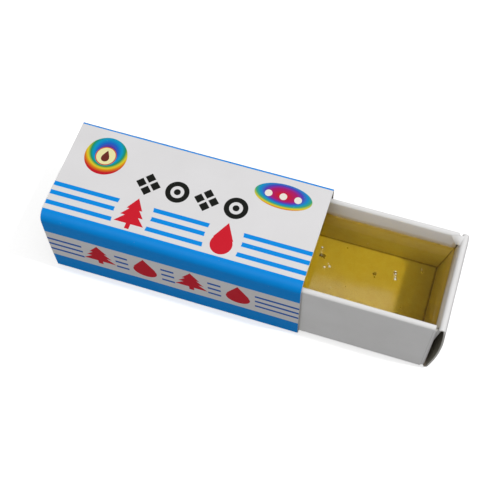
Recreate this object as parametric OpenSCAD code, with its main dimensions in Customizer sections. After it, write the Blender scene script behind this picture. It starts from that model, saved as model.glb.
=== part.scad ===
// Sliding-tray carton holding a poured rosin cake.
// Sizes in millimetres, +Z up, +X along the carton in the direction the tray is drawn out.
// The origin is the middle of the sleeve's bottom face.
// The sleeve is one folded and glued board blank, and the tray another:
// each panel between two creases is its own solid.

/* [Sleeve] */
// Length of the open-ended sleeve along X
sleeve_length = 60; // [48:1:76]
// Outside width of the sleeve across Y
sleeve_width = 26; // [20:0.5:36]
// Outside height of the sleeve
sleeve_height = 24; // [18:0.5:32]
// Outside radius of the soft fold along the top front edge
soft_fold_r = 2.8; // [1.4:0.1:3.6]
// Outside radius of every crisp crease
crease_r = 0.8; // [0.5:0.05:1.0]
// Height of the glue flap behind the lower part of the back panel
glue_flap_height = 9; // [5:0.5:13]
// Gap between the table and the cut lower edge of the back panel
back_edge_lift = 0.25; // [0.1:0.05:0.8]

/* [Board] */
// Thickness of the coated carton board
board = 0.4; // [0.3:0.05:0.45]
// Thickness of the glue film in the sleeve's seam
glue_film = 0.05; // [0.03:0.01:0.1]
// Bare margin of board around the glue film
glue_margin = 1; // [0.5:0.25:2]

/* [Tray fit] */
// How far the tray is drawn out of the sleeve
drawn_out = 31.6; // [0:0.2:59]
// Free gap between the tray and each side of the sleeve
side_clearance = 0.2; // [0.1:0.05:0.5]
// Free gap under the tray
floor_clearance = 0.1; // [0.05:0.05:0.3]
// Free gap between the tray's rim and the top panel
head_clearance = 1.9; // [0.8:0.1:3]

/* [Tray walls] */
// Width of the rolled rim on the long walls
side_roll_width = 1.25; // [1.1:0.05:1.8]
// Width of the rolled rim on the end walls
end_roll_width = 1.45; // [1.1:0.05:2]
// How far the foot of a long inner wall stands inward of its rim
side_lean = 0.85; // [0.2:0.05:2]
// How far the foot of an inner end wall stands inward of its rim
end_lean = 2.95; // [2.6:0.05:4.5]
// Radius of the outward bow of the outer end panels
end_bow_r = 60; // [50:5:150]
// Height of the bow's fullest point, as a share of the tray's height
end_bow_share = 0.61; // [0.5:0.01:0.7]
// How far the bowed end panels stand past the ends of the long walls
end_stand_off = 2.1; // [2:0.05:3]
// Trim off each side edge of the end panels
end_trim = 0.15; // [0.05:0.05:0.5]
// Width of each dust flap, as a share of the tray's width
dust_flap_share = 0.4; // [0.2:0.01:0.45]
// Gap between two board edges or faces that pass each other inside the tray
board_gap = 0.05; // [0.03:0.01:0.1]

/* [Rosin] */
// Depth of the rosin's surface below the tray's rim
freeboard = 5.3; // [4.8:0.1:8]
// How far the rosin climbs the walls around its edge
meniscus_rise = 0.4; // [0.1:0.05:0.45]
// Width of the climbing edge
meniscus_width = 0.8; // [0.4:0.1:2]

/* [Display] */
// Sub-part to draw, or all of them

/* [Hidden] */
$fn = 128;

// Sleeve sections, measured across Y and Z
front_out_y = -sleeve_width / 2;
back_out_y = sleeve_width / 2;
back_in_y = back_out_y - board;
flap_out_y = back_in_y - glue_film;
flap_in_y = flap_out_y - board;
flap_fold_y = flap_out_y - crease_r;

// Tray sizes that follow from the space inside the sleeve
tray_front_y = front_out_y + board + side_clearance;
tray_width = flap_in_y - side_clearance - tray_front_y;
tray_mid_y = tray_front_y + tray_width / 2;
tray_base_z = board + floor_clearance;
tray_height = sleeve_height - board - head_clearance - tray_base_z;
half_width = tray_width / 2;
half_length = sleeve_length / 2;
wall_end_x = half_length - end_stand_off;
wall_fold_x = wall_end_x - crease_r;

// Long walls: rolled rim and leaning inner panel
side_roll_r = side_roll_width / 2;
side_roll_y = half_width - side_roll_r;
side_roll_z = tray_height - side_roll_r;
side_foot_y = half_width - side_roll_width - side_lean;
side_run = side_roll_y - side_foot_y;
side_drop = side_roll_z - board;
side_angle = atan2(side_run, side_drop) - asin(side_roll_r / norm([side_run, side_drop]));

// End walls: bowed outer panel, rolled rim and leaning inner panel
end_width = tray_width - 2 * end_trim;
bow_z = end_bow_share * tray_height;
bow_x = half_length - end_bow_r;
end_roll_r = end_roll_width / 2;
end_roll_z = tray_height - end_roll_r;
low_angle = asin((bow_z - crease_r) / (end_bow_r - crease_r));
high_angle = asin((end_roll_z - bow_z) / (end_bow_r - end_roll_r));
end_fold_x = bow_x + (end_bow_r - crease_r) * cos(low_angle);
end_roll_x = bow_x + (end_bow_r - end_roll_r) * cos(high_angle);
end_foot_x = end_roll_x - end_roll_r - end_lean;
end_run = end_roll_x - end_foot_x;
end_drop = end_roll_z - board;
end_angle = atan2(end_run, end_drop) - asin(end_roll_r / norm([end_run, end_drop]));

// Dust flaps stop below the height where the inner end panel leans over them
flap_face_x = wall_end_x - board;
panel_back_foot_x = end_foot_x + board / cos(end_angle);
dust_flap_low_z = crease_r + board;
dust_flap_top_z = board + (flap_face_x - board_gap - panel_back_foot_x) / tan(end_angle);
dust_flap_width = dust_flap_share * tray_width;

// Rosin
rosin_top_z = tray_height - freeboard;
rosin_edge_z = rosin_top_z + meniscus_rise;

// Overshoot of a cutting solid past the face it cuts
past = 1;

// How far a panel runs on into its own rolled rim or crease
lap = 0.05;

// Colours of the board's two sides, the glue and the rosin
coated_white = [0.93, 0.93, 0.92];
raw_grey = [0.70, 0.66, 0.60];
glue_tint = [0.86, 0.82, 0.68];
rosin_amber = [0.52, 0.38, 0.10];

// Half width of the rosin, and of the space between the long inner walls, at height z
function side_face_y(z) = side_foot_y + (z - board) * tan(side_angle);

// Half length of the rosin, and of the space between the inner end walls, at height z
function end_face_x(z) = end_foot_x + (z - board) * tan(end_angle);

// Quarter or part fold of board about an axis along +X through the YZ point given.
// The fold starts at the angle from, measured from +Y towards +Z, and turns through sweep.
module fold_x(y, z, radius, from, sweep, x0, x1) {
    translate([x0, y, z])
        rotate([90, 0, 90])
            rotate([0, 0, from])
                rotate_extrude(angle = sweep)
                    translate([radius - board, 0])
                        square([board, x1 - x0]);
}

// The same fold about an axis along Y, measured from +X towards +Z
module fold_y(x, z, radius, from, sweep, width) {
    translate([x, width / 2, z])
        rotate([90, 0, 0])
            rotate([0, 0, from])
                rotate_extrude(angle = sweep)
                    translate([radius - board, 0])
                        square([board, width]);
}

// Block between two opposite corners
module block(low, high) {
    translate(low)
        cube(high - low);
}

// Places tray pieces, drawn about the tray's own middle, where the tray stands
module in_tray() {
    translate([drawn_out, tray_mid_y, tray_base_z])
        children();
}

// ---- sleeve ----

module sleeve_top_panel() {
    color(coated_white)
        block(
            [-half_length, front_out_y + soft_fold_r, sleeve_height - board],
            [half_length, back_out_y - crease_r, sleeve_height]
        );
}

module sleeve_front_panel() {
    color(coated_white)
        union() {
            block(
                [-half_length, front_out_y, crease_r],
                [half_length, front_out_y + board, sleeve_height - soft_fold_r]
            );
            fold_x(
                front_out_y + soft_fold_r, sleeve_height - soft_fold_r,
                soft_fold_r, 90, 90, -half_length, half_length
            );
        }
}

module sleeve_bottom_panel() {
    color(coated_white)
        union() {
            block(
                [-half_length, front_out_y + crease_r, 0],
                [half_length, flap_fold_y, board]
            );
            fold_x(front_out_y + crease_r, crease_r, crease_r, 180, 90, -half_length, half_length);
        }
}

module sleeve_back_panel() {
    color(coated_white)
        union() {
            block(
                [-half_length, back_in_y, back_edge_lift],
                [half_length, back_out_y, sleeve_height - crease_r]
            );
            fold_x(
                back_out_y - crease_r, sleeve_height - crease_r,
                crease_r, 0, 90, -half_length, half_length
            );
        }
}

// The flap turns up from the bottom panel and lies inside the back panel
module sleeve_glue_flap() {
    color(raw_grey)
        union() {
            fold_x(flap_fold_y, crease_r, crease_r, 270, 90, -half_length, half_length);
            block(
                [-half_length, flap_in_y, crease_r],
                [half_length, flap_out_y, glue_flap_height]
            );
        }
}

module sleeve_seam_glue() {
    color(glue_tint)
        block(
            [-half_length + glue_margin, flap_out_y, crease_r + glue_margin],
            [half_length - glue_margin, back_in_y, glue_flap_height - glue_margin]
        );
}

// ---- tray ----

// The base carries the creases that turn up into the two end walls
module tray_base_panel() {
    color(coated_white)
        in_tray()
            union() {
                block(
                    [-end_fold_x - lap, -half_width + crease_r, 0],
                    [end_fold_x + lap, half_width - crease_r, board]
                );
                for (side = [0, 1])
                    mirror([side, 0, 0])
                        fold_y(end_fold_x, crease_r, crease_r, 270, 90 - low_angle, end_width);
            }
}

// Outer panel of the long wall on the +Y side of the tray's middle.
// Its ends are cut back at the height of the dust flaps, which fold off them.
module long_wall_outer() {
    union() {
        fold_x(
            half_width - crease_r, crease_r, crease_r, 270, 90, -wall_fold_x, wall_fold_x
        );
        difference() {
            block(
                [-wall_end_x, half_width - board, crease_r],
                [wall_end_x, half_width, side_roll_z]
            );
            for (side = [0, 1])
                mirror([side, 0, 0])
                    block(
                        [wall_fold_x, half_width - board - past, -past],
                        [wall_end_x + past, half_width + past, dust_flap_top_z]
                    );
        }
    }
}

// Rolled rim and leaning inner panel of the long wall on the +Y side
module long_wall_rollover() {
    union() {
        fold_x(
            side_roll_y, side_roll_z, side_roll_r, 0, 180 - side_angle,
            -wall_end_x + board_gap, wall_end_x - board_gap
        );
        difference() {
            translate([0, side_roll_y, side_roll_z])
                rotate([-side_angle, 0, 0])
                    block(
                        [-flap_face_x + board_gap, -side_roll_r, -side_drop - past],
                        [flap_face_x - board_gap, -side_roll_r + board, lap]
                    );
            block(
                [-half_length, -past, -side_drop],
                [half_length, half_width, board]
            );
        }
    }
}

module front_wall_outer() {
    color(coated_white)
        in_tray()
            mirror([0, 1, 0])
                long_wall_outer();
}

module front_wall_rollover() {
    color(coated_white)
        in_tray()
            mirror([0, 1, 0])
                long_wall_rollover();
}

module back_wall_outer() {
    color(coated_white)
        in_tray()
            long_wall_outer();
}

module back_wall_rollover() {
    color(coated_white)
        in_tray()
            long_wall_rollover();
}

// Bowed outer panel of the end wall on the +X side
module end_wall_outer() {
    fold_y(bow_x, bow_z, end_bow_r, -low_angle, low_angle + high_angle, end_width);
}

// Rolled rim and leaning inner panel of the end wall on the +X side.
// The inner panel tapers so that it fits between the long inner walls.
module end_wall_rollover() {
    union() {
        fold_y(
            end_roll_x, end_roll_z, end_roll_r, high_angle, 180 - high_angle - end_angle,
            end_width
        );
        difference() {
            intersection() {
                translate([end_roll_x, 0, end_roll_z])
                    rotate([0, end_angle, 0])
                        block(
                            [-end_roll_r, -half_width, -end_drop - past],
                            [-end_roll_r + board, half_width, lap]
                        );
                rotate([90, 0, 90])
                    linear_extrude(half_length)
                        trapezoid(
                            side_foot_y - board_gap, side_face_y(tray_height) - board_gap,
                            board, tray_height
                        );
            }
            block(
                [0, -half_width, -past],
                [half_length, half_width, board]
            );
        }
    }
}

// Symmetric trapezoid of the given half widths at its foot and its top
module trapezoid(foot_half, top_half, foot_z, top_z) {
    polygon([
        [-foot_half, foot_z],
        [foot_half, foot_z],
        [top_half, top_z],
        [-top_half, top_z],
    ]);
}

module right_end_outer() {
    color(coated_white)
        in_tray()
            end_wall_outer();
}

module right_end_rollover() {
    color(coated_white)
        in_tray()
            end_wall_rollover();
}

module left_end_outer() {
    color(coated_white)
        in_tray()
            mirror([1, 0, 0])
                end_wall_outer();
}

module left_end_rollover() {
    color(coated_white)
        in_tray()
            mirror([1, 0, 0])
                end_wall_rollover();
}

// Dust flap at the +X, +Y corner, with the upright fold that joins it to the long wall
module dust_flap() {
    union() {
        translate([wall_fold_x, half_width - crease_r, dust_flap_low_z])
            rotate_extrude(angle = 90)
                translate([crease_r - board, 0])
                    square([board, dust_flap_top_z - dust_flap_low_z]);
        block(
            [flap_face_x, half_width - dust_flap_width, dust_flap_low_z],
            [wall_end_x, half_width - crease_r, dust_flap_top_z]
        );
    }
}

module front_right_dust_flap() {
    color(raw_grey)
        in_tray()
            mirror([0, 1, 0])
                dust_flap();
}

module front_left_dust_flap() {
    color(raw_grey)
        in_tray()
            mirror([1, 0, 0])
                mirror([0, 1, 0])
                    dust_flap();
}

module back_right_dust_flap() {
    color(raw_grey)
        in_tray()
            dust_flap();
}

module back_left_dust_flap() {
    color(raw_grey)
        in_tray()
            mirror([1, 0, 0])
                dust_flap();
}

// ---- rosin ----

// Four-sided block that widens from foot_z to top_z
module tapered_block(foot_x, foot_y, top_x, top_y, foot_z, top_z) {
    intersection() {
        rotate([90, 0, 90])
            translate([0, 0, -half_length])
                linear_extrude(sleeve_length)
                    trapezoid(foot_y, top_y, foot_z, top_z);
        rotate([90, 0, 0])
            translate([0, 0, -half_width])
                linear_extrude(tray_width)
                    trapezoid(foot_x, top_x, foot_z, top_z);
    }
}

// The rosin is poured into the tray, so it fills it from wall to wall.
// Its surface is flat, with a sloping edge where it climbs the walls.
module rosin_cake() {
    color(rosin_amber)
        in_tray()
            difference() {
                tapered_block(
                    end_face_x(board), side_face_y(board),
                    end_face_x(rosin_edge_z), side_face_y(rosin_edge_z),
                    board, rosin_edge_z
                );
                tapered_block(
                    end_face_x(rosin_top_z) - meniscus_width,
                    side_face_y(rosin_top_z) - meniscus_width,
                    end_face_x(rosin_edge_z),
                    side_face_y(rosin_edge_z),
                    rosin_top_z, rosin_edge_z
                );
            }
}

sleeve_top_panel();
sleeve_front_panel();
sleeve_bottom_panel();
sleeve_back_panel();
sleeve_glue_flap();
sleeve_seam_glue();
tray_base_panel();
front_wall_outer();
front_wall_rollover();
back_wall_outer();
back_wall_rollover();
right_end_outer();
right_end_rollover();
left_end_outer();
left_end_rollover();
front_right_dust_flap();
front_left_dust_flap();
back_right_dust_flap();
back_left_dust_flap();
rosin_cake();
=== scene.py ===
"""A rosin cake in its sliding-tray carton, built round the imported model.

Lengths in this file are millimetres until a mesh is made, and then metres.
"""

import math

import bpy
import numpy as np
from mathutils import Matrix, Vector


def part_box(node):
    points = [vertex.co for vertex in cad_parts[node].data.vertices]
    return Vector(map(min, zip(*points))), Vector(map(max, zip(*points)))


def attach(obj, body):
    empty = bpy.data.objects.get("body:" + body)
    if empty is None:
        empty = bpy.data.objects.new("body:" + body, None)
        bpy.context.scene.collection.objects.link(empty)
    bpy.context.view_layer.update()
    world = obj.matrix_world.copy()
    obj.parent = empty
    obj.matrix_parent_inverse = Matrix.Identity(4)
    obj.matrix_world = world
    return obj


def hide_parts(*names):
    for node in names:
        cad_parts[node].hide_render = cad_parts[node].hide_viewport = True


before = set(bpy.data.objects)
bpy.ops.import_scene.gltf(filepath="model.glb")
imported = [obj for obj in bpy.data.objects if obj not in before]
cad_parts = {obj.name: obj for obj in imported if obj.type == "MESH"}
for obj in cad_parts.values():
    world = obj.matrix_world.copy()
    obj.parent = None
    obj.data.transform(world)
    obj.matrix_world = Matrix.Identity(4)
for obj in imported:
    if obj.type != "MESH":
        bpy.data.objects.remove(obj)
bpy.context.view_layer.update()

MM = 0.001


# -------- sizes


def box_mm(node):
    """Lowest and highest corner of a CAD node, in millimetres."""
    low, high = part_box(node)
    return np.array(low) / MM, np.array(high) / MM


top_low, top_high = box_mm("sleeve_top_panel")
front_low, front_high = box_mm("sleeve_front_panel")
back_low, back_high = box_mm("sleeve_back_panel")
flap_high = box_mm("sleeve_glue_flap")[1]

BOARD = top_high[2] - top_low[2]
SLEEVE_HALF = top_high[0]
SLEEVE_HEIGHT = top_high[2]
FRONT_Y = front_low[1]
BACK_Y = back_high[1]
SOFT_R = front_high[1] - front_low[1]
CREASE_R = back_high[1] - back_low[1]

base_low, base_high = box_mm("tray_base_panel")
near_low = box_mm("front_wall_outer")[0]
wall_high = box_mm("back_wall_outer")[1]
roll_low, roll_high = box_mm("back_wall_rollover")
end_low, end_high = box_mm("right_end_outer")
lip_low, lip_high = box_mm("right_end_rollover")
dust_low, dust_high = box_mm("back_right_dust_flap")
rosin_low = box_mm("rosin_cake")[0]

TRAY_X = (base_low[0] + base_high[0]) / 2
TRAY_Y = (near_low[1] + wall_high[1]) / 2
TRAY_Z = base_low[2]
TRAY_HALF_WIDTH = wall_high[1] - TRAY_Y
TRAY_HALF_LENGTH = end_high[0] - TRAY_X
TRAY_HEIGHT = roll_high[2] - TRAY_Z
WALL_END_X = wall_high[0] - TRAY_X
END_HALF_WIDTH = (end_high[1] - end_low[1]) / 2
SIDE_FOOT_Y = roll_low[1] - TRAY_Y
END_FOOT_X = lip_low[0] - TRAY_X
DUST_WIDTH = dust_high[1] - dust_low[1]
DUST_TOP_Z = dust_high[2] - TRAY_Z

# Outer radii of the rolled rims, and the bow of the end panels with the share of their height
# at which it stands out furthest.
SIDE_ROLL_R = 0.625
END_ROLL_R = 0.725
END_BOW_R = 60.0
END_BOW_SHARE = 0.61

# The rosin's level below the rim, and how it climbs the walls.
FREEBOARD = 5.3
MENISCUS_RISE = 0.4
MENISCUS_WIDTH = 0.9
ROSIN_LEVEL = TRAY_Z + TRAY_HEIGHT - FREEBOARD

CUT_ROUND = 0.04
FOOT_GAP = 0.15
WALL_GAP = 0.1
FLAT_LAP = 0.6
INNER_HALF = WALL_END_X - BOARD - WALL_GAP

# Spacing of the mesh rows along the panels, across the ends and up the dust flaps.
PANEL_STEP = 1.5
END_STEP = 1.2
FLAP_STEP = 0.08

# Height of each board's and the rosin's unevenness.
SLEEVE_WAVE = 0.035
SIDE_WAVE = 0.04
END_WAVE = 0.05
ROSIN_WAVE = 0.012


# -------- folded strips


def left_of(heading):
    """Unit vector to the left of a heading in radians."""
    return np.array([-math.sin(heading), math.cos(heading)])


def along(heading):
    """Unit vector along a heading in radians."""
    return np.array([math.cos(heading), math.sin(heading)])


class Strip:
    """The outer face of a folded board strip, seen end on.

    It starts at a point with a heading and is made of straight runs and right-hand folds.
    The outer face is to the left, so a fold's radius is that of the outer face.
    """

    def __init__(self, start, heading, moves):
        self.pieces = []
        self.marks = [0.0]
        point, angle = np.array(start, float), heading
        for kind, *size in moves:
            if kind == "go":
                length = size[0]
                self.pieces.append(("go", point.copy(), angle, 0.0))
                point = point + along(angle) * length
            else:
                radius, turn = size
                length = radius * turn
                centre = point - left_of(angle) * radius
                self.pieces.append(("turn", centre, angle, radius))
                angle -= turn
                point = centre + left_of(angle) * radius
            self.marks.append(self.marks[-1] + length)
        self.length = self.marks[-1]

    def at(self, s):
        """At the distances s: both coordinates of the points, then of the outward normals."""
        s = np.asarray(s, float)
        points = np.zeros(s.shape + (2,))
        normals = np.zeros(s.shape + (2,))
        last = len(self.pieces) - 1
        for k, (kind, origin, angle, radius) in enumerate(self.pieces):
            low = self.marks[k] if k else -1e9
            high = self.marks[k + 1] if k < last else 1e9
            here = (s >= low) & (s <= high)
            t = s[here] - self.marks[k]
            if kind == "go":
                points[here] = origin + t[:, None] * along(angle)
                normals[here] = left_of(angle)
            else:
                a = angle - t / radius
                out = np.stack([-np.sin(a), np.cos(a)], axis=-1)
                points[here] = origin + radius * out
                normals[here] = out
        return (*np.moveaxis(points, -1, 0), *np.moveaxis(normals, -1, 0))

    def rows(self, low, high, flat_step=1.2, turn_step=math.radians(7.5)):
        """Distances between low and high, close together in folds and wider on flats."""
        found = [low, high]
        for k, (kind, *_, radius) in enumerate(self.pieces):
            a, b = max(low, self.marks[k]), min(high, self.marks[k + 1])
            if b - a < 1e-6:
                continue
            step = flat_step if kind == "go" else min(flat_step, radius * turn_step)
            found.extend(np.linspace(a, b, max(2, math.ceil((b - a) / step) + 1)))
        found = np.unique(np.round(found, 6))
        return found[np.insert(np.diff(found) > 1e-4, 0, True)]


def stacked(*parts):
    """Points or other vectors from their coordinates, which may be arrays or numbers."""
    return np.stack(np.broadcast_arrays(*parts), axis=-1)


def steps(low, high, step):
    """Evenly spaced values from low to high, no further apart than step."""
    return np.linspace(low, high, max(2, math.ceil((high - low) / step) + 1))


# -------- meshes


def piece_from(name, vertices, faces, face_slots, materials, uvs, sharp=()):
    """A mesh object from millimetre vertices, with a UV pair for every vertex."""
    mesh = bpy.data.meshes.new(name)
    mesh.from_pydata((np.asarray(vertices) * MM).tolist(), [], faces)
    for material in materials:
        mesh.materials.append(material)
    mesh.polygons.foreach_set("material_index", np.array(face_slots, np.int32))
    mesh.polygons.foreach_set("use_smooth", np.ones(len(faces), bool))
    layer = mesh.uv_layers.new(name="sheet")
    loops = np.zeros(len(mesh.loops), np.int32)
    mesh.loops.foreach_get("vertex_index", loops)
    layer.data.foreach_set("uv", np.asarray(uvs, np.float32)[loops].ravel())
    if sharp:
        wanted = {tuple(sorted(pair)) for pair in sharp}
        for edge in mesh.edges:
            if tuple(sorted(edge.vertices)) in wanted:
                edge.use_edge_sharp = True
    mesh.update()
    mesh.validate()
    piece = bpy.data.objects.new(name, mesh)
    bpy.context.scene.collection.objects.link(piece)
    return piece


def grid_rim(across, up):
    """Column and row of every place on a grid's border, once each, in order."""
    return (
        [(i, 0) for i in range(across)]
        + [(across - 1, j) for j in range(1, up)]
        + [(i, up - 1) for i in range(across - 2, -1, -1)]
        + [(0, j) for j in range(up - 2, 0, -1)]
    )


def grid_quads(across, up):
    """The quads of a grid whose vertices are numbered row by row."""
    starts = [j * across + i for j in range(up - 1) for i in range(across - 1)]
    return [(a, a + 1, a + across + 1, a + across) for a in starts]


def skirt_quads(*rings):
    """The quads between closed rings of vertex numbers, each ring below the one before."""
    return [
        (upper[k], upper[k - 1], lower[k - 1], lower[k])
        for upper, lower in zip(rings, rings[1:])
        for k in range(len(upper))
    ]


def ring_edges(*rings):
    """The edges along closed rings of vertex numbers."""
    return [(ring[k], ring[k - 1]) for ring in rings for k in range(len(ring))]


# Millimetres of board to one unit of UV.
UV_SPAN = 100.0


def sheet(name, spot, us, vs, cut, materials, thick=None):
    """A closed sheet of board of even thickness.

    spot(u, v) gives points, outward normals and flat-sheet coordinates of the outer face, and
    spot.width, where it is set, is the length that one step of u stands for.
    cut names the edges that are cut board, whose corners are rounded a little.
    """
    thick = BOARD if thick is None else thick
    us, vs = np.array(us, float), np.array(vs, float)
    grid_u, grid_v = us.copy(), vs.copy()
    rounding = {"u": CUT_ROUND / getattr(spot, "width", 1.0), "v": CUT_ROUND}
    for axis, grid in (("u", grid_u), ("v", grid_v)):
        grid[0] += rounding[axis] * (axis + "0" in cut)
        grid[-1] -= rounding[axis] * (axis + "1" in cut)
    nu, nv = len(us), len(vs)
    uu, vv = np.meshgrid(grid_u, grid_v)
    points, normals, flat = spot(uu, vv)
    outer = points.reshape(-1, 3)
    inner = (points - normals * thick).reshape(-1, 3)
    rim = grid_rim(nu, nv)
    rim_u = np.array([us[i] for i, _ in rim])
    rim_v = np.array([vs[j] for _, j in rim])
    rim_points, rim_normals, rim_flat = spot(rim_u, rim_v)
    corner = min(CUT_ROUND, thick / 4)
    ring_high = rim_points - rim_normals * corner
    ring_low = rim_points - rim_normals * (thick - corner)
    vertices = np.concatenate([outer, inner, ring_high, ring_low])
    flat = flat.reshape(-1, 2)
    uvs = np.concatenate([flat, flat, rim_flat, rim_flat]) / UV_SPAN
    first_inner, first_high = nu * nv, 2 * nu * nv
    first_low = first_high + len(rim)
    edge = [j * nu + i for i, j in rim]
    inner_edge = [first_inner + k for k in edge]
    high_ring, low_ring = range(first_high, first_low), range(first_low, len(vertices))
    front = grid_quads(nu, nv)
    back = [tuple(first_inner + k for k in reversed(quad)) for quad in front]
    sides = skirt_quads(edge, high_ring, low_ring, inner_edge)
    faces = front + back + sides
    slots = [0] * len(front) + [1] * len(back) + [2] * len(sides)
    sharp = ring_edges(edge, inner_edge)
    # The outer face has to wind so that it faces along its normal.
    p, q, r = (outer[k] for k in faces[0][:3])
    if np.dot(np.cross(q - p, r - p), normals.reshape(-1, 3)[faces[0][0]]) < 0:
        faces = [tuple(reversed(f)) for f in faces]
    return piece_from(name, vertices, faces, slots, materials, uvs, sharp)


def eased(share):
    """0 below 0 and 1 above 1, with a smooth rise between."""
    share = np.clip(share, 0, 1)
    return share * share * (3 - 2 * share)


def waves(a, b, seed, size):
    """Gentle unevenness of hand-folded board, about size high, from two coordinates."""
    total = 0.0
    for k in range(1, 5):
        phase_a = math.sin(seed * 12.9 + k * 4.1) * 9
        phase_b = math.sin(seed * 7.3 + k * 2.7) * 9
        rate_a = 0.10 + 0.09 * k + 0.02 * math.sin(seed + k)
        rate_b = 0.12 + 0.10 * k + 0.02 * math.cos(seed * 2 + k)
        total = total + np.sin(a * rate_a + phase_a) * np.cos(b * rate_b + phase_b) / k
    return size * total / 2


# -------- shader fields


class Field:
    """A number that varies over a surface, built from Math nodes."""

    def __init__(self, tree, value):
        self.tree = tree
        self.value = value

    def op(self, kind, *others, clamp=False):
        node = self.tree.nodes.new("ShaderNodeMath")
        node.operation = kind
        node.use_clamp = clamp
        for socket, item in zip(node.inputs, (self, *others)):
            item = item.value if isinstance(item, Field) else item
            if isinstance(item, (int, float)):
                socket.default_value = item
            else:
                self.tree.links.new(item, socket)
        return Field(self.tree, node.outputs[0])

    def __add__(self, other):
        return self.op("ADD", other)

    def __sub__(self, other):
        return self.op("SUBTRACT", other)

    def __mul__(self, other):
        return self.op("MULTIPLY", other)

    def __truediv__(self, other):
        return self.op("DIVIDE", other)

    def __rsub__(self, other):
        return self.op("MULTIPLY", -1.0) + other

    def __abs__(self):
        return self.op("ABSOLUTE")

    def least(self, other):
        return self.op("MINIMUM", other)

    def most(self, other):
        return self.op("MAXIMUM", other)

    def times_plus(self, factor, extra, clamp=False):
        return self.op("MULTIPLY_ADD", factor, extra, clamp=clamp)

    def far(self, other):
        """Distance from the origin to the point (self, other)."""
        return (self * self + other * other).op("SQRT")

    def inside(self, soft=0.05):
        """1 where the distance is negative, 0 where it is positive, over a soft edge."""
        return self.times_plus(-1.0 / soft, 0.5, clamp=True)

    def ramp(self, low, high):
        """0 at low and 1 at high, held outside."""
        return self.times_plus(1.0 / (high - low), -low / (high - low), clamp=True)


def new_material(name):
    """A node material, its tree and its Principled shader."""
    material = bpy.data.materials.new(name)
    material.use_nodes = True
    tree = material.node_tree
    shader = tree.nodes["Principled BSDF"]
    return material, tree, shader


def sheet_fields(tree):
    """The flat-sheet coordinates in millimetres, as two fields."""
    node = tree.nodes.new("ShaderNodeUVMap")
    node.uv_map = "sheet"
    parts = tree.nodes.new("ShaderNodeSeparateXYZ")
    tree.links.new(node.outputs[0], parts.inputs[0])
    return [Field(tree, parts.outputs[k]) * UV_SPAN for k in (0, 1)]


def object_point(tree):
    return tree.nodes.new("ShaderNodeTexCoord").outputs["Object"]


def noise(tree, scale, detail=2.0, rough=0.5, stretch=None, lumpy=0.0):
    """A noise field, its scale in features per metre."""
    node = tree.nodes.new("ShaderNodeTexNoise")
    node.inputs["Scale"].default_value = scale
    node.inputs["Detail"].default_value = detail
    node.inputs["Roughness"].default_value = rough
    node.inputs["Distortion"].default_value = lumpy
    point = object_point(tree)
    if stretch is not None:
        mapping = tree.nodes.new("ShaderNodeMapping")
        mapping.inputs["Scale"].default_value = stretch
        tree.links.new(point, mapping.inputs["Vector"])
        point = mapping.outputs[0]
    tree.links.new(point, node.inputs["Vector"])
    return Field(tree, node.outputs["Fac"])


def blend(tree, share, first, second):
    """first where share is 0 and second where it is 1, as a colour socket."""
    node = tree.nodes.new("ShaderNodeMix")
    node.data_type = "RGBA"
    share_socket, first_socket, second_socket = (node.inputs[k] for k in (0, 6, 7))
    for socket, item in ((share_socket, share), (first_socket, first), (second_socket, second)):
        item = item.value if isinstance(item, Field) else item
        if isinstance(item, bpy.types.NodeSocket):
            tree.links.new(item, socket)
        elif isinstance(item, (int, float)):
            socket.default_value = item
        else:
            socket.default_value = (*item, 1.0)
    return node.outputs[2]


def colour_ramp(tree, share, stops):
    """A colour from a field between 0 and 1, through the given stops."""
    node = tree.nodes.new("ShaderNodeValToRGB")
    ramp = node.color_ramp
    while len(ramp.elements) < len(stops):
        ramp.elements.new(0.5)
    for element, (place, colour) in zip(ramp.elements, stops):
        element.position = place
        element.color = (*colour, 1.0)
    tree.links.new(share.value, node.inputs[0])
    return node.outputs[0]


def ray(tree, kind):
    """1 for light paths of one kind and 0 for the others, as a socket."""
    return tree.nodes.new("ShaderNodeLightPath").outputs[kind]


def choose(tree, share, first, second):
    """The first shader where share is 0 and the second where it is 1."""
    node = tree.nodes.new("ShaderNodeMixShader")
    for socket, item in zip(node.inputs, (share, first, second)):
        tree.links.new(item, socket)
    return node.outputs[0]


def add_bump(tree, shader, height, distance, strength=1.0):
    """Bump from a field, where 1 stands for distance metres."""
    node = tree.nodes.new("ShaderNodeBump")
    node.inputs["Strength"].default_value = strength
    node.inputs["Distance"].default_value = distance
    tree.links.new(height.value, node.inputs["Height"])
    tree.links.new(node.outputs[0], shader.inputs["Normal"])


# -------- materials

WHITE = (0.80, 0.79, 0.80)
WHITE_DIM = (0.765, 0.755, 0.76)
TRAY_WHITE = (0.85, 0.844, 0.842)
TRAY_WHITE_DIM = (0.80, 0.793, 0.785)
RAW_GREY = (0.20, 0.185, 0.135)
RAW_LIGHT = (0.36, 0.335, 0.26)
RAW_FLECK = (0.10, 0.09, 0.07)
CORE_GREY = (0.50, 0.485, 0.45)
CORE_PALE = (0.70, 0.69, 0.665)
GLUE_TONES = ((0.62, 0.56, 0.42), (0.76, 0.72, 0.60))
# Near-white tones of the lumps that stand in for glints on the rosin: painted highlights.
GLINT_TONES = ((0.95, 0.93, 0.80), (1.0, 1.0, 0.96))
# Dark brown tones of the lumps that stand in for the dark look of bubbles: painted shade.
BUBBLE_SHADE_TONES = ((0.24, 0.17, 0.035), (0.36, 0.27, 0.06))
BLUE = (0.0, 0.30, 0.86)
BLUE_DEEP = (0.0, 0.26, 0.78)
LINE_BLUE = (0.02, 0.13, 0.52)
RED = (0.66, 0.012, 0.028)
BLACK = (0.012, 0.013, 0.011)


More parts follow.
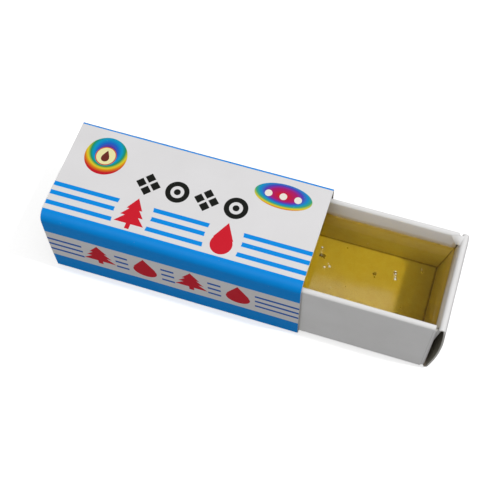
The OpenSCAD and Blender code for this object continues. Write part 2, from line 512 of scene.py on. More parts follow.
def board_surface(tree, shader, rough=0.42, extra=0.0):
    """The fine texture of coated carton: faint fibre, mottled gloss. Gives the mottling."""
    fibre = noise(tree, 2600, detail=3, rough=0.6)
    grain = noise(tree, 420, detail=2, rough=0.5)
    gloss = grain.times_plus(0.16, rough - 0.08)
    tree.links.new(gloss.value, shader.inputs["Roughness"])
    add_bump(tree, shader, fibre * 0.35 + grain * 0.65 + extra, 0.00004, 0.8)
    shader.inputs["Specular IOR Level"].default_value = 0.15
    return grain


# Rosin has crept up the walls above its level, furthest at the back right corner, and has stained
# the board below it. The feet of the walls and the inner corners are darkened, partly by rosin
# soaked into the joints and partly by painted shade of the creases and corners.
STAIN_REACH = 1.0
STAIN_DEPTH = 9.0
END_STAIN_X = lip_low[0] + 1.2
END_STAIN_Y = rosin_low[1] + 8.0
SOAK_AND_SHADE_WIDTH = 0.36
STAIN_ABOVE = (0.46, 0.31, 0.055)
STAIN_BELOW = (0.84, 0.67, 0.18)
STAIN_MOTTLE = (0.64, 0.50, 0.22)
SOAKED_AND_SHADED_TONE = (0.17, 0.085, 0.010)
SCUFF = (0.42, 0.40, 0.36)


def stained_by_rosin(tree, tone):
    """The white board, stained by rosin above and below, with painted shade and soak at feet and
    corners.
    """
    parts = tree.nodes.new("ShaderNodeSeparateXYZ")
    tree.links.new(object_point(tree), parts.inputs[0])
    x, y, z = (Field(tree, parts.outputs[k]) / MM for k in range(3))
    above = z - ROSIN_LEVEL
    drift = noise(tree, 130, detail=3, rough=0.6)
    corner = ((x - END_STAIN_X).ramp(0.0, 0.6) * (y - END_STAIN_Y).ramp(0.0, 14.0)) * 2.6
    reach = drift.times_plus(1.4, STAIN_REACH) + corner
    film = (1.0 - above / reach).op("MULTIPLY", 0.8, clamp=True) * above.ramp(-0.5, 0.1)
    tone = blend(tree, film, tone, STAIN_ABOVE)
    below = above.ramp(0.1, -0.1)
    tone = blend(tree, above.ramp(-STAIN_DEPTH, 0.0) * below * 0.7, tone, STAIN_BELOW)
    mottle = noise(tree, 520, detail=5, rough=0.72).ramp(0.40, 0.72)
    tone = blend(tree, mottle * below * 0.26, tone, STAIN_MOTTLE)
    to_side, to_foot = sheet_fields(tree)
    ragged = noise(tree, 900, detail=3, rough=0.7)
    # Feet and inner corners darkened: rosin soaked into the joints, and painted shade of the
    # creases.
    edge = (to_side + 0.12).least(to_foot) - ragged * 0.25
    soak_and_shade = edge.times_plus(-1.0 / SOAK_AND_SHADE_WIDTH, 1.0, clamp=True) * (above - 3.0).inside(2.0)
    return blend(tree, soak_and_shade * 0.62, tone, SOAKED_AND_SHADED_TONE)


def coated_white(name, stained=False):
    """White coated side of the tray's board, with faint clouds, specks and scuffs."""
    material, tree, shader = new_material(name)
    board_surface(tree, shader)
    cloudy = noise(tree, 95, detail=3, rough=0.55)
    tone = blend(tree, cloudy.ramp(0.35, 0.75), TRAY_WHITE, TRAY_WHITE_DIM)
    specks = noise(tree, 1900, detail=1).ramp(0.73, 0.80)
    tone = blend(tree, specks * 0.10, tone, RAW_LIGHT)
    scuff = noise(tree, 240, detail=4, rough=0.7, stretch=(1, 1, 0.25)).ramp(0.62, 0.80)
    tone = blend(tree, scuff * 0.07, tone, SCUFF)
    if stained:
        tone = stained_by_rosin(tree, tone)
    tree.links.new(tone, shader.inputs["Base Color"])
    return material


def raw_board():
    """Uncoated recycled side of the board."""
    material, tree, shader = new_material("raw_board")
    fibre = noise(tree, 1500, detail=4, rough=0.65, stretch=(0.35, 1, 1))
    flecks = noise(tree, 2300, detail=1).ramp(0.62, 0.74)
    tone = blend(tree, fibre.ramp(0.3, 0.7), RAW_GREY, RAW_LIGHT)
    tone = blend(tree, flecks * 0.5, tone, RAW_FLECK)
    tree.links.new(tone, shader.inputs["Base Color"])
    shader.inputs["Roughness"].default_value = 0.85
    add_bump(tree, shader, fibre, 0.00005, 0.8)
    return material


def cut_edge():
    """The cut edge of the board: pale coating over a grey fibrous core."""
    material, tree, shader = new_material("cut_edge")
    layers = noise(tree, 3800, detail=3, rough=0.7)
    tone = blend(tree, layers.ramp(0.35, 0.65), CORE_GREY, CORE_PALE)
    tree.links.new(tone, shader.inputs["Base Color"])
    shader.inputs["Roughness"].default_value = 0.8
    add_bump(tree, shader, layers, 0.00004, 0.8)
    return material


def grainy(name, scale, detail, tones, gloss, bump):
    """A small-grained material: two tones, a spread of roughness and a bump depth in metres."""
    material, tree, shader = new_material(name)
    grain = noise(tree, scale, detail=detail)
    tree.links.new(blend(tree, grain, *tones), shader.inputs["Base Color"])
    tree.links.new(grain.times_plus(*gloss).value, shader.inputs["Roughness"])
    add_bump(tree, shader, grain, bump, 0.6)
    return material


def glue_film():
    """Dried white glue."""
    return grainy("glue_film", 700, 3, GLUE_TONES, (0.3, 0.3), 0.00004)


def rosin_glint_powder():
    """Near-white lumps in the rosin's surface: painted highlights for the glints on its pits."""
    return grainy("rosin_glint_powder", 6000, 2, GLINT_TONES, (0.4, 0.2), 0.00002)


def rosin_bubble_shade():
    """Dark brown lumps: painted shade for the dark look of bubbles in the rosin."""
    return grainy("rosin_bubble_shade", 2500, 3, BUBBLE_SHADE_TONES, (0.3, 0.3), 0.00002)


# Colour rings of the badges, as stops from the middle outwards.
ROUNDEL_RINGS = [
    (0.00, (0.12, 0.02, 0.30)), (0.16, (0.01, 0.12, 0.58)), (0.34, (0.00, 0.34, 0.60)),
    (0.50, (0.01, 0.30, 0.09)), (0.66, (0.76, 0.64, 0.02)), (0.82, (0.74, 0.20, 0.01)),
    (1.00, (0.58, 0.01, 0.02)),
]
OVAL_RINGS = [
    (0.00, (0.60, 0.01, 0.03)), (0.30, (0.42, 0.01, 0.16)), (0.46, (0.07, 0.05, 0.50)),
    (0.62, (0.00, 0.28, 0.62)), (0.76, (0.05, 0.40, 0.16)), (0.90, (0.78, 0.64, 0.02)),
    (1.00, (0.74, 0.22, 0.01)),
]

# Artwork of the sleeve. On the sheet, u runs along the sleeve from its middle. On the top panel
# y is the shared frame's y. On the front panel z is the height, which the back panel repeats.
STRIPE_YS = (-4.33, -6.62, -9.22)
STRIPE_HALF = 0.54
BAND_TOP_Y = -10.95
BAND_LOW_Z = 17.0
LOWER_BAND_Z = 6.2
BAND_RUN_OUT = 1.8
BACK_BAND_LAP = 0.75
RED_MARK_XS = (-10.4, 10.5)
RED_MARK_Y = -6.5
RED_MARK_SIZE = 4.0
MARK_GAP = 4.35
MARK_SLANT = 0.132
BLACK_ROW_X, BLACK_ROW_Y, BLACK_STEP = 0.5, 1.55, 6.85
BLACK_MARK_SIZE = 2.95
BLACK_MARK_REACH = 3.3
FRONT_MARK_X, FRONT_MARK_Z, FRONT_STEP = -0.9, 12.1, 11.1
FRONT_MARK_SIZE = 4.1
FRONT_MARK_WIDE = 1.12
FRONT_MARK_REACH = 4.5
FRONT_MARK_GAP = 4.0
FRONT_LINE_ZS = (13.95, 11.6, 9.15)
FRONT_LINE_HALF = 0.40
ROUNDEL = (-21.6, 5.6)
ROUNDEL_R = 4.9
ROUNDEL_RIM_R, ROUNDEL_DISC_R, ROUNDEL_DROP = 2.45, 2.2, 1.5
OVAL = (19.8, 7.5)
OVAL_HALF = (6.6, 3.15)
OVAL_DOT_STEP = 3.4
OVAL_DOT_R = 0.85
ROUNDEL_RIM = (0.62, 0.10, 0.03)
ROUNDEL_DISC = (0.88, 0.83, 0.42)
ROUNDEL_INK = (0.16, 0.03, 0.02)
OVAL_DOT = (0.88, 0.83, 0.74)
WORN_INK = (0.76, 0.76, 0.75)


def tree_shape(x, y, size):
    """Signed distance of a plain conifer: three stacked triangles and a trunk."""
    side = abs(x)
    shape = (side - 0.13 * size).most(abs(y + 0.80 * size) - 0.2 * size)
    for tip, foot, half in ((1.0, 0.25, 0.46), (0.62, -0.20, 0.66), (0.20, -0.68, 0.86)):
        slope = half / (tip - foot)
        edge = side.times_plus(1.0, (y - tip * size) * slope) * 0.75
        tier = edge.most((y - foot * size) * -1.0)
        shape = shape.least(tier)
    return shape


def drop_shape(x, y, size):
    """Signed distance of a plain drop: a disc under a pointed top."""
    low = y + 0.36 * size
    disc = x.far(low) - 0.62 * size
    point = (abs(x) + (y - 1.02 * size) * 0.55) * 0.88
    point = point.most((y + 0.03 * size) * -1.0)
    return disc.least(point)


def clover_shape(x, y, size):
    """Signed distance of four small lozenges set in a lozenge."""
    a, b = abs(x), abs(y)
    return abs(a.most(b) - 0.56 * size) + a.least(b) - 0.43 * size


def target_shape(x, y, size):
    """Signed distance of a ring round a dot."""
    far = x.far(y)
    ring = abs(far - 0.72 * size) - 0.20 * size
    return ring.least(far - 0.26 * size)


def nearest_line(place, lines):
    """Distance to the nearest of several lines."""
    distance = abs(place - lines[0])
    for line in lines[1:]:
        distance = distance.least(abs(place - line))
    return distance


def four_in_row(u, middle, step):
    """For a row of four marks: the place in a mark's cell, 1 in every second cell, and the
    signed distance to the row's ends."""
    cell = (u - (middle - step * 2)) / step
    local = (cell - cell.op("FLOOR") - 0.5) * step
    second = (cell * 0.5).op("FRACT").op("GREATER_THAN", 0.5)
    return local, second, abs(u - middle) - 2 * step


def blue_bands(u, v, y, z):
    """Stripes on the top, the band over the soft fold, the lower band and the back's top one."""
    stripes = nearest_line(y, STRIPE_YS) - STRIPE_HALF
    gap = abs(u - RED_MARK_XS[0]).least(abs(u - RED_MARK_XS[1]) + 0.1) - MARK_GAP
    slant = abs(y - RED_MARK_Y) * MARK_SLANT
    stripes = stripes.most((gap + slant) * -1.0)
    band_high, band_low = v_of_top_y(BAND_TOP_Y), BAND_LOW_Z
    band = abs(v - (band_high + band_low) / 2) - (band_high - band_low) / 2
    half = (LOWER_BAND_Z + BAND_RUN_OUT) / 2
    lower = abs(z - (LOWER_BAND_Z - half)) - half
    back_top = v_of_top_y(BACK_Y) - BACK_BAND_LAP
    back = (v * -1.0 + back_top).most(v - (BACK_V - BAND_LOW_Z))
    return stripes.least(band).least(lower).least(back)


def front_print(tree, colour, u, z):
    """Thin lines and four red marks along the front, pines and drops by turns."""
    local, second, beyond = four_in_row(u, FRONT_MARK_X, FRONT_STEP)
    marks = (abs(local) - FRONT_MARK_GAP).most(beyond)
    lines = (nearest_line(z, FRONT_LINE_ZS) - FRONT_LINE_HALF).most(marks * -1.0)
    colour = blend(tree, lines.inside(), colour, LINE_BLUE)
    wide, height = local / FRONT_MARK_WIDE, z - FRONT_MARK_Z
    pine = tree_shape(wide, height, FRONT_MARK_SIZE)
    drop = drop_shape(wide, height, FRONT_MARK_SIZE)
    mark = (pine + (drop - pine) * second).most(beyond)
    return colour, mark.most(abs(height) - FRONT_MARK_REACH)


def black_row(u, y):
    """A row of four black marks on the top, by turns lozenges and ringed dots."""
    local, second, beyond = four_in_row(u, BLACK_ROW_X, BLACK_STEP)
    height = y - BLACK_ROW_Y
    clover = clover_shape(local, height, BLACK_MARK_SIZE)
    target = target_shape(local, height, BLACK_MARK_SIZE)
    mark = (clover + (target - clover) * second).most(beyond)
    return mark.most(abs(height) - BLACK_MARK_REACH)


def round_badge(tree, colour, u, y):
    """Colour rings about a pale disc with a drop."""
    x, up = u - ROUNDEL[0], y - ROUNDEL[1]
    far = x.far(up)
    rings = colour_ramp(tree, (far + up * -0.35).ramp(1.6, ROUNDEL_R + 0.9), ROUNDEL_RINGS)
    colour = blend(tree, (far - ROUNDEL_R).inside(), colour, rings)
    colour = blend(tree, (far - ROUNDEL_RIM_R).inside(), colour, ROUNDEL_RIM)
    colour = blend(tree, (far - ROUNDEL_DISC_R).inside(), colour, ROUNDEL_DISC)
    return blend(tree, drop_shape(x, up, ROUNDEL_DROP).inside(), colour, ROUNDEL_INK)


def oval_badge(tree, colour, u, y):
    """An oval of colour rings with three pale dots."""
    x, up = u - OVAL[0], y - OVAL[1]
    far = (x * (OVAL_HALF[1] / OVAL_HALF[0])).far(up)
    rings = colour_ramp(tree, (far + up * -0.25).ramp(0.5, OVAL_HALF[1] + 0.6), OVAL_RINGS)
    colour = blend(tree, (far - OVAL_HALF[1]).inside(), colour, rings)
    nearest = (x / OVAL_DOT_STEP).op("ROUND").most(-1.0).least(1.0)
    dots = (x - nearest * OVAL_DOT_STEP).far(up) - OVAL_DOT_R
    return blend(tree, dots.inside(), colour, OVAL_DOT)


def worn_print(tree, colour, u, v):
    """Ink rubbed off along the creases and at the mouths, most at the handled end."""
    rub = noise(tree, 900, detail=4, rough=0.75)
    to_mouth = abs(u) * -1.0 + SLEEVE_HALF
    creases = nearest_line(v, (v_of_top_y(BACK_Y - CREASE_R) + 0.6, 0.15))
    worn = creases.least(to_mouth * 1.6).times_plus(-2.0, 1.0, clamp=True)
    handled = u.ramp(12.0, -32.0)
    worn = (worn * (handled * 0.24 + 0.48) + rub).ramp(0.93, 1.06)
    colour = blend(tree, worn * 0.75, colour, WORN_INK)
    specks = noise(tree, 1300, detail=2).ramp(0.74, 0.80)
    return blend(tree, specks * 0.18, colour, WHITE)


def printed_board():
    """The sleeve's printed outer face, its back printed like its front."""
    material, tree, shader = new_material("printed_board")
    u, v = sheet_fields(tree)
    y = v - v_of_top_y(0.0)
    z = v.least(v * -1.0 + BACK_V)
    fold_middle = (v_of_top_y(FRONT_Y + SOFT_R) + SLEEVE_HEIGHT - SOFT_R) / 2
    on_fold = (abs(v - fold_middle) / SOFT_R).ramp(1.3, 0.4)
    wrinkles = noise(tree, 330, detail=3, rough=0.6, stretch=(1.0, 0.22, 0.22)) * on_fold
    grain = board_surface(tree, shader, rough=0.36, extra=wrinkles * 1.6)
    cloudy = noise(tree, 80, detail=3, rough=0.5)
    colour = blend(tree, cloudy.ramp(0.35, 0.75), WHITE, WHITE_DIM)
    ink = blend(tree, grain.times_plus(0.5, 0.2), BLUE, BLUE_DEEP)
    colour = blend(tree, blue_bands(u, v, y, z).inside(), colour, ink)
    colour, red = front_print(tree, colour, u, z)
    up = y - RED_MARK_Y
    red = red.least(tree_shape(u - RED_MARK_XS[0], up, RED_MARK_SIZE))
    red = red.least(drop_shape(u - RED_MARK_XS[1], up, RED_MARK_SIZE))
    colour = blend(tree, red.inside(), colour, RED)
    colour = blend(tree, black_row(u, y).inside(), colour, BLACK)
    colour = round_badge(tree, colour, u, y)
    colour = oval_badge(tree, colour, u, y)
    tree.links.new(worn_print(tree, colour, u, v), shader.inputs["Base Color"])
    return material


ROSIN_TINT = (1.0, 0.93, 0.34, 1.0)
ROSIN_DEPTH_COLOUR = (0.92, 0.82, 0.0, 1.0)
ROSIN_DEPTH_DENSITY = 78.0
ROSIN_SHADOW = (0.93, 0.84, 0.52, 1.0)


def rosin():
    """Clear olive-amber rosin, glassy, a little hazy and dusty."""
    material, tree, shader = new_material("rosin")
    shader.inputs["Base Color"].default_value = ROSIN_TINT
    shader.inputs["Transmission Weight"].default_value = 1.0
    shader.inputs["IOR"].default_value = 1.53
    haze = noise(tree, 160, detail=3, rough=0.6)
    dust = noise(tree, 2600, detail=2).ramp(0.66, 0.74)
    rough = haze.ramp(0.45, 0.8) * 0.04 + dust * 0.12 + 0.05
    tree.links.new(rough.value, shader.inputs["Roughness"])
    ripple = noise(tree, 60, detail=2, rough=0.4) * 0.03 + dust * 0.004
    add_bump(tree, shader, ripple, MM)
    # Lamps shine through the surface, tinted, instead of throwing a black shadow.
    clear = tree.nodes.new("ShaderNodeBsdfTransparent")
    clear.inputs["Color"].default_value = ROSIN_SHADOW
    skin = choose(tree, ray(tree, "Is Shadow Ray"), shader.outputs[0], clear.outputs[0])
    depth = tree.nodes.new("ShaderNodeVolumeAbsorption")
    depth.inputs["Color"].default_value = ROSIN_DEPTH_COLOUR
    depth.inputs["Density"].default_value = ROSIN_DEPTH_DENSITY
    output = tree.nodes["Material Output"]
    tree.links.new(skin, output.inputs["Surface"])
    tree.links.new(depth.outputs[0], output.inputs["Volume"])
    return material


# -------- the sleeve


def rides_for(piece, body, node):
    """Makes a piece ride on a body and stand for its CAD node."""
    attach(piece, body)
    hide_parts(node)


def sleeve_strip():
    """The sleeve's blank, from the glue flap's edge round to the back panel's cut edge."""
    quarter = math.pi / 2
    return Strip(
        (flap_high[1], flap_high[2]),
        -quarter,
        [
            ("go", flap_high[2] - CREASE_R),
            ("turn", CREASE_R, quarter),
            ("go", (flap_high[1] - CREASE_R) - (FRONT_Y + CREASE_R)),
            ("turn", CREASE_R, quarter),
            ("go", SLEEVE_HEIGHT - SOFT_R - CREASE_R),
            ("turn", SOFT_R, quarter),
            ("go", (BACK_Y - CREASE_R) - (FRONT_Y + SOFT_R)),
            ("turn", CREASE_R, quarter),
            ("go", SLEEVE_HEIGHT - CREASE_R - back_low[2]),
        ],
    )


SLEEVE = sleeve_strip()
FRONT_V0 = SLEEVE.marks[4] - CREASE_R
TOP_START = SLEEVE.marks[6]
BACK_V = SLEEVE.length - FRONT_V0 + back_low[2]

# The front and back panels bulge, the top sags, and the empty end springs a little wider.
SIDE_BULGE = 0.16
TOP_SAG = 0.10
SPLAY = 0.030


def v_of_top_y(y):
    """Sheet coordinate of a line along the top panel."""
    return TOP_START - FRONT_V0 + (y - (FRONT_Y + SOFT_R))


def sleeve_spot(u, s):
    """Points, normals and sheet coordinates of the sleeve's outer face."""
    y, z, ny, nz = SLEEVE.at(s)
    lift = np.clip(np.sin(np.pi * np.clip(z / SLEEVE_HEIGHT, 0, 1)), 0, 1)
    level = np.clip(np.cos(np.pi * y / (BACK_Y - FRONT_Y)), 0, 1)
    bulge = SIDE_BULGE * lift * np.abs(ny) ** 4 - TOP_SAG * level * np.maximum(nz, 0) ** 4
    bulge = bulge + waves(u, s, 1.0, SLEEVE_WAVE) * (nz > -0.5)
    free = np.clip((TRAY_X - TRAY_HALF_LENGTH - u) / (2 * SLEEVE_HALF), 0, 1) ** 1.5
    y = y * (1 + SPLAY * free) + ny * bulge
    z = z + nz * bulge
    return stacked(u, y, z), stacked(0, ny, nz), stacked(u, s - FRONT_V0)


def make_sleeve(printed, raw, edge):
    """The five panels of the sleeve, each cut from the one folded sheet."""
    marks = SLEEVE.marks
    cuts = {
        "sleeve_glue_flap": marks[0],
        "sleeve_bottom_panel": marks[2] + FLAT_LAP,
        "sleeve_front_panel": marks[4] + FLAT_LAP,
        "sleeve_top_panel": marks[6] + FLAT_LAP,
        "sleeve_back_panel": marks[7] - FLAT_LAP,
    }
    ends = [*cuts.values(), marks[9]][1:]
    us = steps(-SLEEVE_HALF, SLEEVE_HALF, PANEL_STEP)
    for (node, low), high in zip(cuts.items(), ends):
        cut = {"u0", "u1"} | ({"v0"} if low == marks[0] else set())
        cut = cut | ({"v1"} if high == marks[9] else set())
        rows = SLEEVE.rows(low, high)
        piece = sheet(node + "_board", sleeve_spot, us, rows, cut, [printed, raw, edge])
        rides_for(piece, "sleeve", node)


# -------- the tray


def lean_of(run, drop, radius):
    """Angle from upright of a panel that leaves a roll and stands run in from its middle."""
    return math.atan2(run, drop) - math.asin(radius / math.hypot(run, drop))


SIDE_ROLL_Y = TRAY_HALF_WIDTH - SIDE_ROLL_R
SIDE_ROLL_Z = TRAY_HEIGHT - SIDE_ROLL_R
SIDE_LEAN = lean_of(SIDE_ROLL_Y - SIDE_FOOT_Y, SIDE_ROLL_Z - BOARD, SIDE_ROLL_R)

BOW_Z = END_BOW_SHARE * TRAY_HEIGHT
BOW_X = TRAY_HALF_LENGTH - END_BOW_R
END_ROLL_Z = TRAY_HEIGHT - END_ROLL_R
LOW_ANGLE = math.asin((BOW_Z - CREASE_R) / (END_BOW_R - CREASE_R))
HIGH_ANGLE = math.asin((END_ROLL_Z - BOW_Z) / (END_BOW_R - END_ROLL_R))
END_FOLD_X = BOW_X + (END_BOW_R - CREASE_R) * math.cos(LOW_ANGLE)
END_ROLL_X = BOW_X + (END_BOW_R - END_ROLL_R) * math.cos(HIGH_ANGLE)
END_LEAN = lean_of(END_ROLL_X - END_FOOT_X, END_ROLL_Z - BOARD, END_ROLL_R)


def wall_strip(roll_at, roll_z, radius, lean, moves):
    """A wall's strip, from the inner panel's foot up, over the roll and down the outside."""
    heading = math.pi / 2 - lean
    leave = np.array([roll_at, roll_z]) + left_of(heading) * radius
    run = (leave[1] - BOARD - FOOT_GAP) / math.cos(lean)
    return Strip(leave - along(heading) * run, heading, [("go", run), *moves])


SIDE = wall_strip(
    SIDE_ROLL_Y, SIDE_ROLL_Z, SIDE_ROLL_R, SIDE_LEAN,
    [
        ("turn", SIDE_ROLL_R, math.pi - SIDE_LEAN),
        ("go", SIDE_ROLL_Z - CREASE_R),
        ("turn", CREASE_R, math.pi / 2),
    ],
)
END = wall_strip(
    END_ROLL_X, END_ROLL_Z, END_ROLL_R, END_LEAN,
    [
        ("turn", END_ROLL_R, math.pi - END_LEAN - HIGH_ANGLE),
        ("turn", END_BOW_R, HIGH_ANGLE + LOW_ANGLE),
        ("turn", CREASE_R, math.pi / 2 - LOW_ANGLE),
    ],
)


def side_face(z):
    """Half width between the long inner walls at a height in the tray."""
    return SIDE_FOOT_Y + (z - BOARD) * math.tan(SIDE_LEAN)


def end_face(z):
    """Half length between the inner end walls at a height in the tray."""
    return END_FOOT_X + (z - BOARD) * math.tan(END_LEAN)


def in_tray(x, y, z):
    """Points in the shared frame, from places about the tray's own middle and base."""
    return stacked(x + TRAY_X, y + TRAY_Y, z + TRAY_Z)


def freedom(up):
    """How far a wall is free to bow: not at its foot, and fully from a third of its height."""
    return np.clip((up - 2) / 6, 0, 1)


def side_spot(side, seed):
    """The spot function of a long wall, on the side +1 or -1 of the tray."""

    def spot(u, s):
        across, up, n_across, n_up = SIDE.at(s)
        bow = waves(u, s, seed, SIDE_WAVE) * freedom(up)
        to_end = end_face(up) - np.abs(u)
        place = in_tray(u, side * (across + n_across * bow), up + n_up * bow * 0.6)
        return place, stacked(0, side * n_across, n_up), stacked(to_end, s)

    return spot


def end_spot(side, seed, half_width):
    """The spot function of an end wall. u runs from -1 to 1 across half_width(s)."""

    def spot(u, s):
        x, up, nx, n_up = END.at(s)
        y = u * half_width(s)
        bow = waves(y, s, seed, END_WAVE) * freedom(up)
        place = in_tray(side * (x + nx * bow), y, up)
        return place, stacked(side * nx, 0, n_up), stacked(half_width(s) - np.abs(y), s)

    spot.width = END_HALF_WIDTH
    return spot


def tray_board(node, spot, us, rows, cut, materials):
    """A board of the tray, in the place of its CAD node."""
    piece = sheet(node + "_board", spot, us, rows, cut, materials)
    rides_for(piece, "tray", node)


def make_long_walls(white, inside, raw, edge):
    """Each long wall: the inner panel with its roll, and the outer panel."""
    roll_end = SIDE.marks[2] + FLAT_LAP
    outer_half = WALL_END_X - CREASE_R
    for name, side, seed in (("front", -1, 2.0), ("back", 1, 3.0)):
        spot = side_spot(side, seed)
        tray_board(
            name + "_wall_rollover", spot, steps(-INNER_HALF, INNER_HALF, PANEL_STEP),
            SIDE.rows(0, roll_end), {"u0", "u1", "v0"}, [inside, raw, edge],
        )
        tray_board(
            name + "_wall_outer", spot, steps(-outer_half, outer_half, PANEL_STEP),
            SIDE.rows(roll_end, SIDE.length), {"u0", "u1", "v1"}, [white, raw, edge],
        )


# The end's inner panel keeps clear of the long walls, and widens just before its roll.
TAPER_GAP = 0.06
WIDEN_START = 1.1
WIDEN_RUN = 0.8


def make_end_walls(white, inside, raw, edge):
    """Each end wall: the inner panel, tapered between the long walls, and the outer panel."""
    widen_at = END.marks[1] - WIDEN_START
    roll_end = END.marks[2]

    def inner_half(s):
        taper = side_face(END.at(s)[1]) - TAPER_GAP
        return taper + (END_HALF_WIDTH - taper) * eased((s - widen_at) / WIDEN_RUN)

    def full_half(s):
        return END_HALF_WIDTH + 0 * s

    us = steps(-1, 1, END_STEP / END_HALF_WIDTH)
    inner_rows = np.union1d(END.rows(0, roll_end), steps(widen_at, END.marks[1], 0.15))
    for name, side, seed in (("right", 1, 5.0), ("left", -1, 6.0)):
        tray_board(
            name + "_end_rollover", end_spot(side, seed, inner_half), us, inner_rows,
            {"u0", "u1", "v0"}, [inside, raw, edge],
        )
        tray_board(
            name + "_end_outer", end_spot(side, seed, full_half), us,
            END.rows(roll_end, END.marks[3]), {"u0", "u1"}, [white, raw, edge],
        )


BASE_NOTCH = 0.4


def make_base(white, inside, edge):
    """The base panel with the creases that turn up into the end walls."""
    crease = ("turn", CREASE_R, math.pi / 2 - LOW_ANGLE)
    half_fold = CREASE_R * (math.pi / 2 - LOW_ANGLE)
    flat = 2 * END_FOLD_X
    start = (END_FOLD_X + CREASE_R * math.cos(LOW_ANGLE), CREASE_R * (1 - math.sin(LOW_ANGLE)))
    strip = Strip(start, -math.pi / 2 - LOW_ANGLE, [crease, ("go", flat), crease])

    def half_width(s):
        """Full width in the end creases, and in from the long creases between them."""
        into = np.minimum(s - half_fold, half_fold + flat - s)
        share = np.clip(into / BASE_NOTCH, 0, 1)
        return END_HALF_WIDTH + (TRAY_HALF_WIDTH - CREASE_R - END_HALF_WIDTH) * share

    def spot(u, s):
        x, up, nx, n_up = strip.at(s)
        y = u * half_width(s)
        to_side, to_end = SIDE_FOOT_Y - np.abs(y), END_FOOT_X - np.abs(x)
        return in_tray(x, y, up), stacked(nx, 0, n_up), stacked(to_side, to_end)

    spot.width = END_HALF_WIDTH
    notches = [half_fold + BASE_NOTCH, half_fold + flat - BASE_NOTCH]
    rows = np.union1d(strip.rows(0, strip.length), notches)
    us = steps(-1, 1, PANEL_STEP / END_HALF_WIDTH)
    tray_board("tray_base_panel", spot, us, rows, {"u0", "u1"}, [white, inside, edge])


# The dust flaps rise above the CAD flaps' height. Over the bend they start to lean out with the
# end's inner panel, which they overlap by a little behind it.
DUST_RISE = 5.6
DUST_BEND = (1.05, 1.75)
DUST_LAP = 0.12
CREASE_DROP = 0.4


def make_dust_flaps(white, raw, edge):
    """Flaps folded in from the long walls' ends, caught between the double end walls."""
    low_z = dust_low[2] - TRAY_Z
    top_z = DUST_TOP_Z + DUST_RISE
    crease_top = SIDE_ROLL_Z - CREASE_DROP
    behind_end = BOARD / math.cos(END_LEAN) + DUST_LAP
    moves = [("turn", CREASE_R, math.pi / 2), ("go", DUST_WIDTH - CREASE_R)]
    strip = Strip((WALL_END_X - CREASE_R, TRAY_HALF_WIDTH), 0.0, moves)

    def spot_for(across, along_x):
        def spot(u, s):
            x, y, nx, ny = strip.at(s)
            share = np.clip((s - DUST_BEND[0]) / (DUST_BEND[1] - DUST_BEND[0]), 0, 1)
            z = low_z + u * (crease_top + (top_z - crease_top) * share - low_z)
            lean = np.clip(end_face(z) + behind_end + BOARD - WALL_END_X, 0, None)
            place = in_tray(along_x * (x + lean * eased(share)), across * y, z)
            return place, stacked(along_x * nx, across * ny, 0), stacked(s, z)

        spot.width = top_z
        return spot

    rows = np.union1d(strip.rows(0, strip.length), steps(*DUST_BEND, 0.1))
    for name, across in (("front", -1), ("back", 1)):
        for hand, along_x in (("left", -1), ("right", 1)):
            tray_board(
                name + "_" + hand + "_dust_flap", spot_for(across, along_x),
                steps(0, 1, FLAP_STEP), rows, {"u0", "u1", "v1"}, [white, raw, edge],
            )


# The torn scrap: where it is set in from the rim's outer corner, its thickness and bulge, and its
# corners about that place.
TORN_INSET = (1.2, 0.55, 0.15)
TORN_THICK = 0.14
TORN_BULGE = 0.28
TORN_CORNERS = ((-2.6, -0.75, -0.25), (0.2, -0.25, 0.12), (-1.2, -1.7, -1.9), (-0.1, -2.6, -0.4))


def make_torn_corner(white, edge):
    """The scrap of coating paper that bridges the back right corner of the rim."""
    anchor = np.array([lip_high[0], *roll_high[1:]]) - TORN_INSET
    a, b, c, d = (anchor + np.array(corner) for corner in TORN_CORNERS)

    def spot(u, v):
        u, v = u[..., None], v[..., None]
        place = (a * (1 - u) + b * u) * (1 - v) + (c * (1 - u) + d * u) * v
        place = place + np.array([0, 0, TORN_BULGE]) * np.sin(np.pi * u) * (1 - 0.5 * v)
        across = (b - a) * (1 - v) + (d - c) * v
        down = (c - a) * (1 - u) + (d - b) * u
        out = np.cross(down, across)
        out = out / np.linalg.norm(out, axis=-1, keepdims=True)
        return place, out, np.concatenate([u, v], axis=-1)

    piece = sheet(
        "back_right_torn_corner", spot, steps(0, 1, 0.1), steps(0, 1, 0.12),
        set(), [white, white, edge], thick=TORN_THICK,
    )
    rides_for(piece, "tray", "right_end_rollover")


# -------- the rosin

# The block is set a little into the walls and the base.
EMBED = 0.06

# pits (below 0) and blisters (above 0) in the surface: x, y, radius and rise
ROSIN_SPOTS = [
    (31.3, 0.4, 0.80, -0.55), (30.8, 1.7, 0.30, 0.8), (32.6, -2.7, 0.30, 0.8),
    (33.5, -2.3, 0.28, 0.8), (43.5, -0.7, 0.60, -0.40), (47.9, 0.6, 0.36, 0.8),
    (48.1, -0.6, 0.42, -0.8), (53.2, 3.2, 0.35, 0.3), (15.0, 3.0, 0.6, -0.5),
    (9.0, -4.0, 0.4, 0.8),
]
# air bubbles: x, y, depth below the surface and radius
ROSIN_BUBBLES = [
    (31.9, -0.3, 0.6, 0.22), (43.7, -1.5, 0.9, 0.20), (47.7, 1.0, 0.8, 0.34),
    (53.4, 3.0, 1.2, 0.20), (38.2, -5.2, 2.6, 0.14), (36.0, 4.8, 4.2, 0.16),
    (51.0, -6.4, 3.1, 0.15), (18.0, -2.0, 1.6, 0.30), (11.0, 5.0, 2.2, 0.22),
]
# pale lumps in the surface, painted highlights for the glints of the pits: x, y and radius
GLINT_CRUMBS = [
    (30.75, 1.85, 0.20), (32.55, -2.75, 0.20), (33.55, -2.25, 0.22), (33.1, -1.6, 0.10),
    (47.75, 0.95, 0.15), (47.95, 0.35, 0.17), (48.05, -0.35, 0.14), (48.15, -0.95, 0.22),
    (47.7, 0.0, 0.09), (53.1, 3.3, 0.07), (40.2, 5.9, 0.08), (35.2, -7.1, 0.08),
    (16.0, 2.6, 0.20), (8.4, -4.6, 0.17),
]
